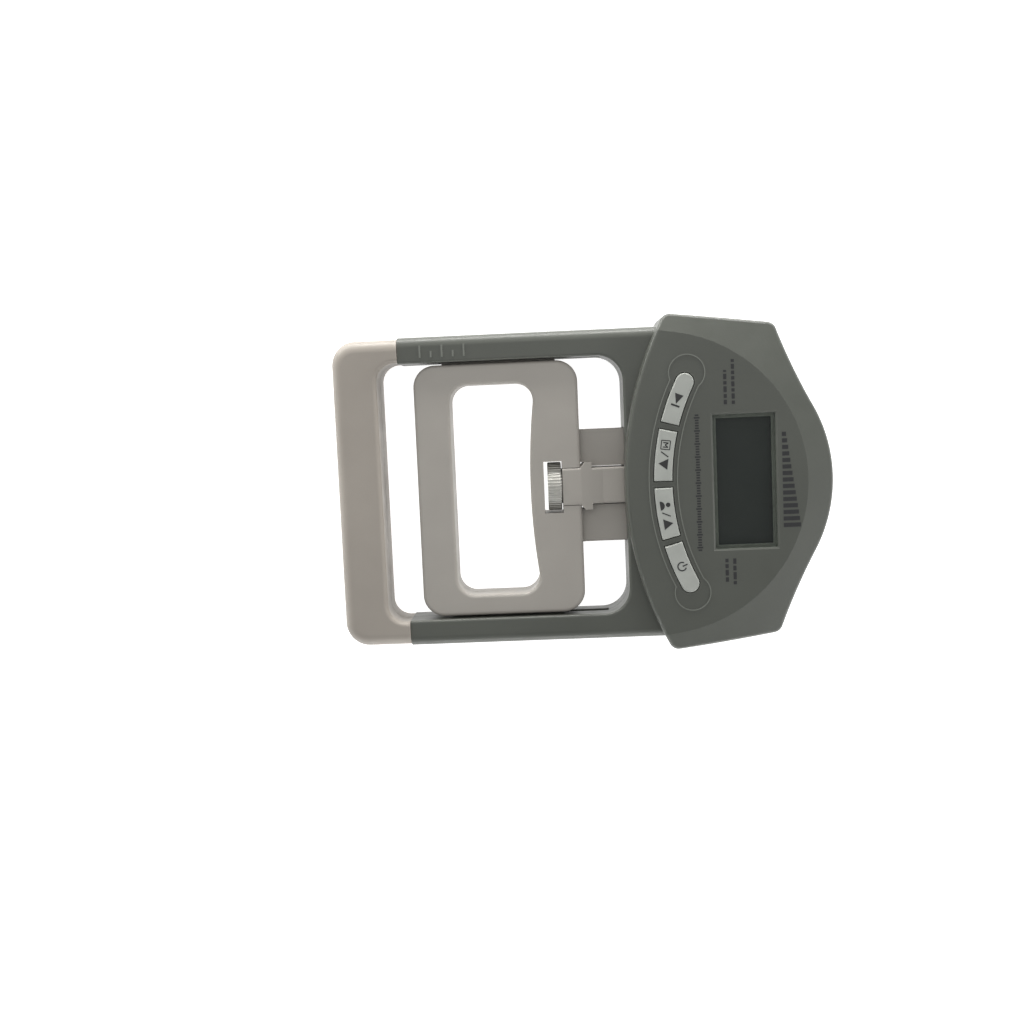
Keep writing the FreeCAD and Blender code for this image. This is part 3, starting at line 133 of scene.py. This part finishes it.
# ---------------------------------------------------------------- materials
class Maker:
    """A material's node tree, with short calls for the nodes that every surface here uses."""

    def __init__(self, name):
        self.material = bpy.data.materials.new(name)
        self.material.use_nodes = True
        self.tree = self.material.node_tree
        self.shader = self.tree.nodes["Principled BSDF"]
        coordinates = self.tree.nodes.new("ShaderNodeTexCoord")
        self.place = coordinates.outputs["Object"]

    def add(self, kind, links=(), **values):
        node = self.tree.nodes.new("ShaderNode" + kind)
        for key, value in values.items():
            if hasattr(node, key):
                setattr(node, key, value)
            else:
                node.inputs[key].default_value = value
        for socket, source in links:
            self.tree.links.new(source, node.inputs[socket])
        return node

    def noise(self, scale, detail=3.0, roughness=0.5, place=None):
        node = self.add("TexNoise", [("Vector", place or self.place)],
                        Scale=scale, Detail=detail, Roughness=roughness)
        return node.outputs["Fac"]

    def spread(self, source, low, high, from_low=0.3, from_high=0.7):
        """Maps a 0 to 1 pattern to the range low to high."""
        node = self.add("MapRange", [("Value", source)])
        ends = (("From Min", from_low), ("From Max", from_high), ("To Min", low), ("To Max", high))
        for name, value in ends:
            node.inputs[name].default_value = value
        return node.outputs["Result"]

    def mix(self, factor, a, b, blend="MIX"):
        """Colour a to colour b by factor. a and b are colours or sockets."""
        node = self.tree.nodes.new("ShaderNodeMix")
        node.data_type = "RGBA"
        node.blend_type = blend
        for socket, value in ((node.inputs[0], factor), (node.inputs[6], a), (node.inputs[7], b)):
            if isinstance(value, bpy.types.NodeSocket):
                self.tree.links.new(value, socket)
            elif isinstance(value, (int, float)):
                socket.default_value = value
            else:
                socket.default_value = (*value, 1)
        return node.outputs[2]

    def bump(self, height, strength, distance, normal=None):
        links = [("Height", height)] + ([("Normal", normal)] if normal else [])
        return self.add("Bump", links, Strength=strength, Distance=distance).outputs["Normal"]

    def edge(self, radius, samples=4):
        """1 on rounded or sharp outside edges and 0 on flats, from the bevel's bent normal."""
        bevel = self.add("Bevel", samples=samples, Radius=radius)
        geometry = self.add("NewGeometry")
        normals = [(0, bevel.outputs["Normal"]), (1, geometry.outputs["Normal"])]
        dot = self.add("VectorMath", normals, operation="DOT_PRODUCT")
        return self.spread(dot.outputs["Value"], 1.0, 0.0, 0.80, 0.99)

    def above(self, height, reach_x):
        """1 above a height and short of reach_x along the object, which picks out raised details."""
        parts = self.add("SeparateXYZ", [(0, self.place)])
        high = self.spread(parts.outputs["Z"], 0.0, 1.0, height, height + 0.1 * MM)
        near = self.spread(parts.outputs["X"], 1.0, 0.0, reach_x, reach_x + 1 * MM)
        return self.add("Math", [(0, high), (1, near)], operation="MULTIPLY").outputs[0]

    def to(self, name, source):
        self.tree.links.new(source, self.shader.inputs[name])

    def fix(self, **values):
        for name, value in values.items():
            self.shader.inputs[name.replace("_", " ")].default_value = value


def darker(colour, factor):
    return tuple(c * factor for c in colour)


def plain_floor():
    m = Maker("pale_floor")
    cloud = m.noise(3.0)
    m.to("Base Color", m.mix(m.spread(cloud, 0, 1), (0.86, 0.86, 0.855), (0.90, 0.90, 0.895)))
    m.fix(Roughness=0.85, Specular_IOR_Level=0.2, Emission_Color=(1, 1, 1, 1), Emission_Strength=0.85)
    return m.material


def moulded_plastic(name, colour, grain=2600, grain_depth=0.05, roughness=(0.42, 0.56),
                    wear_and_highlight=0.0, raised=()):
    """Injection moulded plastic: slight clouding, spark-eroded grain, faint scuffs, paler edges that are
    partly rubbed wear and partly a painted highlight.

    raised lists (height, reach along x) pairs above which the plastic is painted paler, a painted
    highlight standing in for the light that raised tops catch.
    """
    m = Maker(name)
    cloud = m.noise(28, 4)
    fine = m.noise(grain, 2, 0.6)
    base = m.mix(m.spread(cloud, 0, 1), darker(colour, 0.94), darker(colour, 1.06))
    base = m.mix(m.spread(fine, 0, 0.10), base, darker(colour, 0.72))
    if wear_and_highlight:
        # paler edges: partly rubbed wear, partly a painted highlight where edges would catch the light
        rubbed_and_highlit = m.add("Math", [(0, m.edge(0.0011)), (1, m.spread(m.noise(420, 4), 0.25, 1.0, 0.4, 0.62))],
                       operation="MULTIPLY")
        amount = m.add("Math", [(0, rubbed_and_highlit.outputs[0])], operation="MULTIPLY")
        amount.inputs[1].default_value = wear_and_highlight
        base = m.mix(amount.outputs[0], base, tuple(min(1.0, c * 1.5 + 0.05) for c in colour))
    # painted highlight: raised tops made paler in colour, standing in for the light they catch
    for height, reach_x in raised:
        base = m.mix(m.above(height, reach_x), base, tuple(min(1.0, c * 1.6 + 0.03) for c in colour))
    m.to("Base Color", base)
    scuffs = m.noise(95, 6, 0.65)
    m.to("Roughness", m.spread(scuffs, roughness[0], roughness[1], 0.35, 0.65))
    m.to("Normal", m.bump(fine, grain_depth, 0.0002))
    m.fix(Specular_IOR_Level=0.45)
    return m.material


def brushed_metal(name, colour, stretch=(1, 1, 1), scale=900, roughness=(0.25, 0.45), depth=0.08):
    m = Maker(name)
    mapping = m.add("Mapping", [("Vector", m.place)])
    mapping.inputs["Scale"].default_value = stretch
    streaks = m.noise(scale, 3, 0.6, mapping.outputs["Vector"])
    stain = m.noise(130, 4)
    base = m.mix(m.spread(streaks, 0, 1), darker(colour, 0.82), darker(colour, 1.1))
    m.to("Base Color", m.mix(m.spread(stain, 0, 0.35), base, darker(colour, 0.55)))
    m.to("Roughness", m.spread(streaks, *roughness))
    m.to("Normal", m.bump(streaks, depth, 0.0002))
    m.fix(Metallic=1.0)
    return m.material


def key_rubber(name, colour):
    """Matt silicone key with a soft satin grain, darker round the rim."""
    m = Maker(name)
    fine = m.noise(3200, 2)
    cloud = m.noise(160, 4)
    base = m.mix(m.spread(cloud, 0, 1), darker(colour, 0.93), darker(colour, 1.05))
    # the key's colour is darkened round its rim
    rim_darkening = m.add("Math", [(0, m.edge(0.0009))], operation="MULTIPLY")
    rim_darkening.inputs[1].default_value = 0.35
    m.to("Base Color", m.mix(rim_darkening.outputs[0], base, darker(colour, 0.7)))
    m.to("Roughness", m.spread(cloud, 0.55, 0.72))
    m.to("Normal", m.bump(fine, 0.05, 0.0002))
    m.fix(Specular_IOR_Level=0.35)
    return m.material


def clear_lens():
    """Clear window with faint smears; hardly mirrors, like a film-coated one."""
    m = Maker("clear_lens")
    smears = m.noise(60, 5, 0.6)
    glass = m.add("BsdfTransparent")
    glass.inputs["Color"].default_value = (0.93, 0.95, 0.93, 1)
    sheen = m.add("BsdfGlossy")
    m.tree.links.new(m.spread(smears, 0.30, 0.40), sheen.inputs["Roughness"])
    sheen.inputs["Color"].default_value = (0.9, 0.95, 1.0, 1)
    both = m.add("MixShader")
    both.inputs["Fac"].default_value = 0.008
    m.tree.links.new(glass.outputs["BSDF"], both.inputs[1])
    m.tree.links.new(sheen.outputs["BSDF"], both.inputs[2])
    m.tree.links.new(both.outputs["Shader"], m.tree.nodes["Material Output"].inputs["Surface"])
    m.tree.nodes.remove(m.shader)
    return m.material


def display_back():
    """Dark face of the switched-off liquid crystal."""
    m = Maker("display_back")
    cloud = m.noise(35, 3)
    m.to("Base Color", m.mix(m.spread(cloud, 0, 1), (0.026, 0.027, 0.026), (0.031, 0.032, 0.031)))
    m.to("Roughness", m.spread(m.noise(60), 0.6, 0.7))
    m.fix(Specular_IOR_Level=0.1)
    return m.material


def printed_ink(name, colour, roughness=0.6):
    m = Maker(name)
    speckle = m.noise(5200, 2)
    m.to("Base Color", m.mix(m.spread(speckle, 0, 1, 0.35, 0.75), colour, darker(colour, 1.6)))
    m.to("Roughness", m.spread(m.noise(900), roughness - 0.08, roughness + 0.08))
    return m.material


# tops of the line round the keys, and of the scale marks on the arm, painted paler as a highlight
HIGHLIT_RAISED_TOPS = ((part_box("front_shell")[1].z - 0.15 * MM, 1.0), (22.08 * MM, -35 * MM))
MATERIALS = {
    "case_plastic": moulded_plastic("case_plastic_look", (0.075, 0.079, 0.067), wear_and_highlight=0.5,
                                    roughness=(0.33, 0.45), raised=HIGHLIT_RAISED_TOPS),
    "grip_plastic": moulded_plastic("grip_plastic_look", (0.30, 0.27, 0.235), wear_and_highlight=0.3,
                                    roughness=(0.38, 0.55)),
    "handle_plastic": moulded_plastic("handle_plastic_look", (0.33, 0.308, 0.277), wear_and_highlight=0.3,
                                      roughness=(0.38, 0.52)),
    "knurled_metal": brushed_metal("knurled_metal_look", (0.55, 0.54, 0.50), (0.15, 1, 1), 1500,
                                   (0.42, 0.58)),
    "screw_steel": brushed_metal("screw_steel_look", (0.58, 0.58, 0.57), (1, 1, 1), 1200),
    "washer_nylon": moulded_plastic("washer_nylon_look", (0.70, 0.69, 0.64)),
    "key_rubber": key_rubber("key_rubber_look", (0.36, 0.37, 0.34)),
    "switch_black": moulded_plastic("switch_black_look", (0.02, 0.02, 0.02)),
    "lens_glass": clear_lens(),
    "display_glass": display_back(),
    "frame_plastic": moulded_plastic("frame_plastic_look", (0.03, 0.03, 0.03)),
    "connector_rubber": moulded_plastic("connector_rubber_look", (0.18, 0.18, 0.20)),
    "board_green": moulded_plastic("board_green_look", (0.015, 0.12, 0.04), roughness=(0.25, 0.4)),
    "cell_aluminium": brushed_metal("cell_aluminium_look", (0.72, 0.72, 0.73), (1, 0.1, 1)),
    "nut_brass": brushed_metal("nut_brass_look", (0.70, 0.52, 0.22)),
    "gauge_film": moulded_plastic("gauge_film_look", (0.55, 0.30, 0.06)),
    "battery_jacket": moulded_plastic("battery_jacket_look", (0.08, 0.08, 0.09), roughness=(0.2, 0.35)),
    "contact_metal": brushed_metal("contact_metal_look", (0.66, 0.66, 0.64)),
    "lead_insulation": moulded_plastic("lead_insulation_look", (0.40, 0.02, 0.02)),
    "label_film": moulded_plastic("label_film_look", (0.52, 0.52, 0.51), grain=900, roughness=(0.3, 0.45)),
}
INK = printed_ink("dark_ink", (0.012, 0.012, 0.013))
KEY_INK = printed_ink("key_ink", (0.015, 0.015, 0.015))


def dress_cad_nodes():
    slots = {entry["node"]: entry["material_slot"] for entry in frame["record"]["subparts"]}
    for name, node in nodes.items():
        for material_slot in node.material_slots:
            material_slot.material = MATERIALS[slots[name]]
        if not node.material_slots:
            node.data.materials.append(MATERIALS[slots[name]])


# ---------------------------------------------------------------- printed marks
def bar(x0, y0, x1, y1, width):
    """A straight stroke from one point to another, as four corners."""
    along = Vector((x1 - x0, y1 - y0)).normalized() * (width / 2)
    side = Vector((-along.y, along.x))
    a, b = Vector((x0, y0)), Vector((x1, y1))
    return [tuple(a - side), tuple(b - side), tuple(b + side), tuple(a + side)]


def arc_stroke(x, y, radius, start, end, width, steps=18):
    """A curved stroke about (x, y), angles in degrees, as a list of four-cornered pieces."""
    pieces = []
    for i in range(steps):
        a = math.radians(start + (end - start) * i / steps)
        b = math.radians(start + (end - start) * (i + 1) / steps)
        inner, outer = radius - width / 2, radius + width / 2
        pieces.append([(x + math.cos(t) * r, y + math.sin(t) * r)
                       for t, r in ((a, inner), (a, outer), (b, outer), (b, inner))])
    return pieces


def disc(x, y, radius, steps=24, start=0, end=360):
    return [(x + math.cos(math.radians(start + (end - start) * i / steps)) * radius,
             y + math.sin(math.radians(start + (end - start) * i / steps)) * radius) for i in range(steps)]


def print_marks(name, outlines, z, body, material, slot, turn=0.0, centre=(0, 0), thick=0.00004):
    """Thin raised ink. Outlines are in millimetres round centre, turned by turn radians about it."""
    mesh = bmesh.new()
    spin = Matrix.Rotation(turn, 2)
    for outline in outlines:
        points = [spin @ Vector(p) for p in outline]
        area = sum(a.x * b.y - b.x * a.y for a, b in zip(points, points[1:] + points[:1]))
        if area < 0:
            points.reverse()
        low = [mesh.verts.new((centre[0] + p.x * MM, centre[1] + p.y * MM, z - thick)) for p in points]
        high = [mesh.verts.new((v.co.x, v.co.y, z + thick)) for v in low]
        mesh.faces.new(high)
        mesh.faces.new(list(reversed(low)))
        for i in range(len(low)):
            j = (i + 1) % len(low)
            mesh.faces.new((low[i], low[j], high[j], high[i]))
    data = bpy.data.meshes.new(name)
    mesh.to_mesh(data)
    mesh.free()
    piece = bpy.data.objects.new(name, data)
    scene.collection.objects.link(piece)
    data.materials.append(material)
    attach(piece, body)
    return piece


# Symbols are drawn with "up" along +x and are read towards -y, about their own middle.
def triangle(tip_x, base_x, half):
    return [(tip_x, 0), (base_x, half), (base_x, -half)]


def letter_m(size, width):
    h, w = size / 2, size * 0.42
    ends = ((-h, w, h, w), (-h, -w, h, -w), (h, w, -h * 0.2, 0), (h, -w, -h * 0.2, 0))
    return [bar(*stroke, width) for stroke in ends]


def boxed(size, width):
    h = size / 2
    corners = [(-h, -h), (-h, h), (h, h), (h, -h)]
    return [bar(*corners[i], *corners[(i + 1) % 4], width) for i in range(4)]


def person(size):
    head = disc(size * 0.28, 0, size * 0.2)
    shoulders = disc(-size * 0.42, 0, size * 0.40, 16, -90, 101)
    return [head, shoulders]


def power(size, width):
    ring = arc_stroke(0, 0, size * 0.42, 40, 320, width)
    return ring + [bar(size * 0.05, 0, size * 0.58, 0, width)]


def shift(outlines, dy):
    return [[(x, y + dy) for x, y in outline] for outline in outlines]


KEY_ARC_BEYOND_TIP = 20.05 * MM
KEY_ARC_RADIUS = 86.0
SYMBOL_Y, ARROW_Y = 3.6, -3.7     # middles of the two symbols on a middle key


def key_frame(name):
    """Middle of a key's top and the turn that lines a symbol up with the key."""
    low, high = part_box(name)
    middle = (low + high) / 2
    arc_x = cad_high.x + KEY_ARC_BEYOND_TIP
    angle = math.atan2(middle.y, arc_x - middle.x)
    centre = (arc_x - KEY_ARC_RADIUS * MM * math.cos(angle), KEY_ARC_RADIUS * MM * math.sin(angle))
    return centre, high.z, -angle


def print_keys():
    slash = [bar(-1.5, 0.9, 1.5, -0.9, 0.45)]
    memory = shift(boxed(3.4, 0.35) + letter_m(2.0, 0.42), SYMBOL_Y)
    user = shift(person(4.4), SYMBOL_Y)
    symbols = {
        "key_start": [[(-1.7, 2.2), (1.7, 2.2), (0, -1.6)]] + [bar(-1.7, -2.3, 1.7, -2.3, 0.7)],
        "key_memory": memory + slash + shift([triangle(-2.0, 1.6, 2.1)], ARROW_Y),
        "key_user": user + slash + shift([triangle(2.0, -1.6, 2.1)], ARROW_Y),
        "key_power": shift(power(3.9, 0.5), 0.2),
    }
    for name, outlines in symbols.items():
        centre, top, turn = key_frame(name)
        print_marks(name + "_legend", outlines, top, name, KEY_INK, "switch_black", turn, centre)


CONTOUR_RISE = 0.25 * MM            # the line round the keys stands this much above the face
TICK_SIDE = 26                      # ticks on each side of the middle one
BAR_COUNT = 15
DASH_GAP = 0.7


def block(x0, x1, y0, y1):
    return [(x0, y0), (x1, y0), (x1, y1), (x0, y1)]


def print_face():
    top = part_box("front_shell")[1].z - CONTOUR_RISE
    face = dict(z=top, body="frame", material=INK, slot="switch_black")
    # a fine graduated line between the keys and the display
    ticks = []
    for i in range(-TICK_SIDE, TICK_SIDE + 1):
        half = (2.2 if i % 5 == 0 else 1.4) / 2
        ticks.append(block(-half, half, i - 0.3, i + 0.3))
    print_marks("face_graduation", ticks, centre=(0.0441, 0), **face)
    # rising bars beyond the display
    bars = []
    for i in range(BAR_COUNT):
        y = 17.5 - i * 2.5
        height = 1.6 + 5.0 * i / (BAR_COUNT - 1)
        bars.append(block(-3.3, -3.3 + height, y - 0.8, y + 0.8))
    print_marks("face_strength_bars", bars, centre=(0.0796, 0), **face)
    # two short rows of dashes on each side of the display
    for name, side, x, lengths in (("upper", 1, 0.0567, (13.0, 17.0)), ("lower", -1, 0.0557, (9.0, 11.0))):
        rows = []
        for row, length in enumerate(lengths):
            x0 = -1.5 + 3.0 * row
            y = 0.0
            while y < length - 0.5:
                y1 = min(y + random.uniform(1.2, 2.8), length)
                rows.append(block(x0 - 0.6, x0 + 0.6, side * y, side * y1))
                y = y1 + DASH_GAP
        print_marks("face_dashes_" + name, rows, centre=(x, side * 0.0297), **face)


make_camera()
make_studio()
dress_cad_nodes()
print_keys()
print_face()
